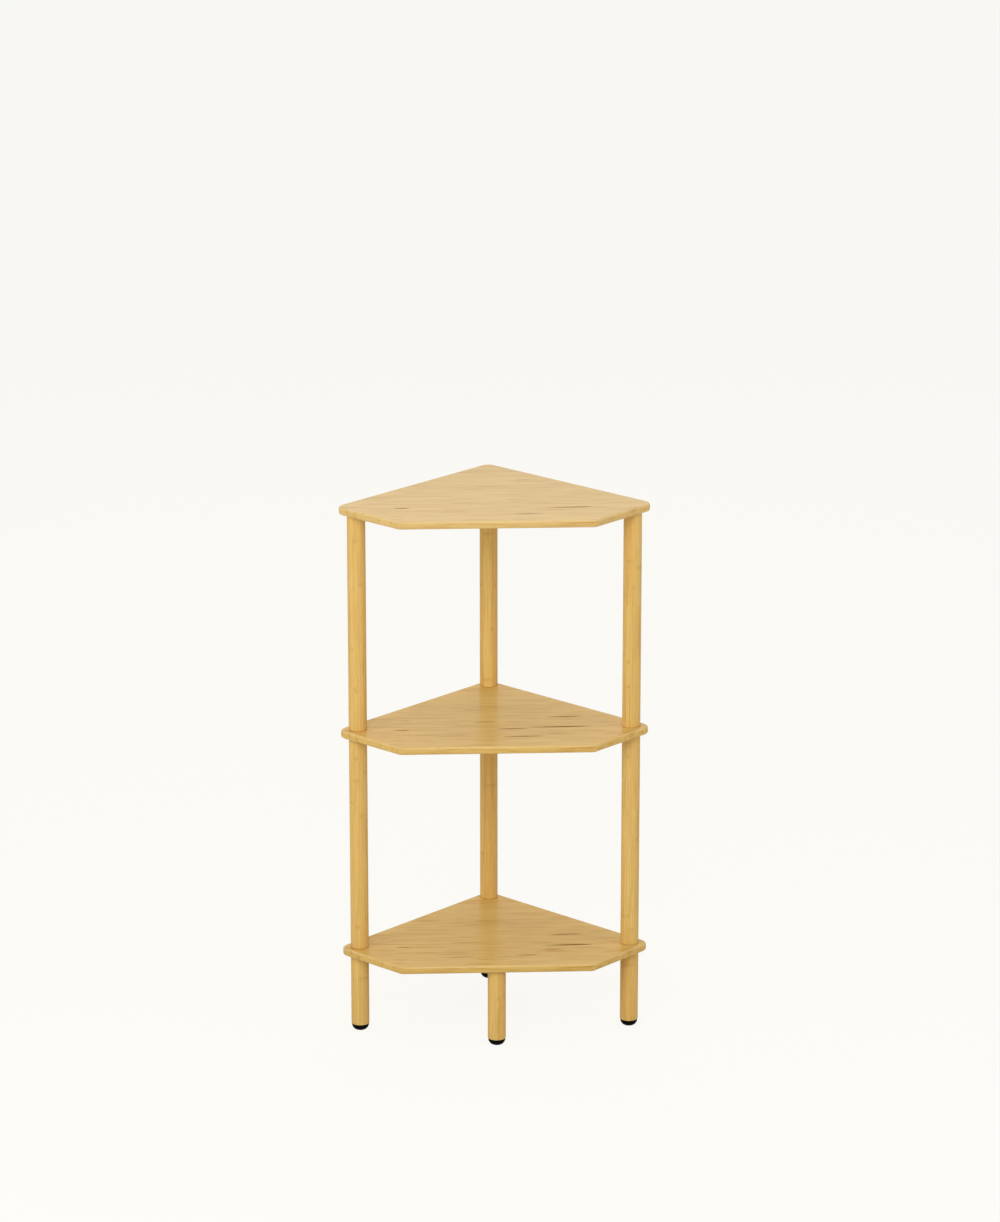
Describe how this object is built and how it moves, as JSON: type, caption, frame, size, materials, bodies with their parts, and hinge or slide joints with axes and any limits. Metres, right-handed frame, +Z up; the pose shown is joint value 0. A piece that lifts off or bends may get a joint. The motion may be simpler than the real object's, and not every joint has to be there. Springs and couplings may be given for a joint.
{
  "type": "corner shelf stand",
  "caption": "Free-standing tiered corner shelf: pentagonal bamboo boards with rounded corners on round screw-together poles, short front leg and domed glides.",
  "frame": {"origin": "on the floor, at the middle of the stand's width and depth", "axes": "+Z up, +Y towards the room's corner, +X to the right seen from the front"},
  "size_m": [0.4542, 0.318, 0.816],
  "materials": {
    "bamboo_board": "satin clear lacquer over fine straight-grained bamboo",
    "bamboo_pole": "satin clear lacquer over laminated bamboo strips",
    "zinc_steel": "bright zinc plating",
    "insert_brass": "turned, unplated",
    "black_plastic": "smooth moulded, semi-gloss"
  },
  "bodies": {
    "root": {"top_shelf": "bamboo_board", "middle_shelf": "bamboo_board", "bottom_shelf": "bamboo_board", "upper_pole_left": "bamboo_pole", "lower_pole_left": "bamboo_pole", "leg_left": "bamboo_pole", "upper_pole_right": "bamboo_pole", "lower_pole_right": "bamboo_pole", "leg_right": "bamboo_pole", "upper_pole_back": "bamboo_pole", "lower_pole_back": "bamboo_pole", "leg_back": "bamboo_pole", "leg_front": "bamboo_pole", "upper_pole_screw_left": "zinc_steel", "lower_pole_screw_left": "zinc_steel", "leg_screw_left": "zinc_steel", "upper_pole_screw_right": "zinc_steel", "lower_pole_screw_right": "zinc_steel", "leg_screw_right": "zinc_steel", "upper_pole_screw_back": "zinc_steel", "lower_pole_screw_back": "zinc_steel", "leg_screw_back": "zinc_steel", "leg_screw_front": "zinc_steel", "upper_pole_insert_left": "insert_brass", "lower_pole_insert_left": "insert_brass", "top_shelf_insert_left": "insert_brass", "upper_pole_insert_right": "insert_brass", "lower_pole_insert_right": "insert_brass", "top_shelf_insert_right": "insert_brass", "upper_pole_insert_back": "insert_brass", "lower_pole_insert_back": "insert_brass", "top_shelf_insert_back": "insert_brass", "bottom_shelf_insert_front": "insert_brass", "glide_left": "black_plastic", "glide_nail_left": "zinc_steel", "glide_right": "black_plastic", "glide_nail_right": "zinc_steel", "glide_back": "black_plastic", "glide_nail_back": "zinc_steel", "glide_front": "black_plastic", "glide_nail_front": "zinc_steel"}
  },
  "joints": []
}
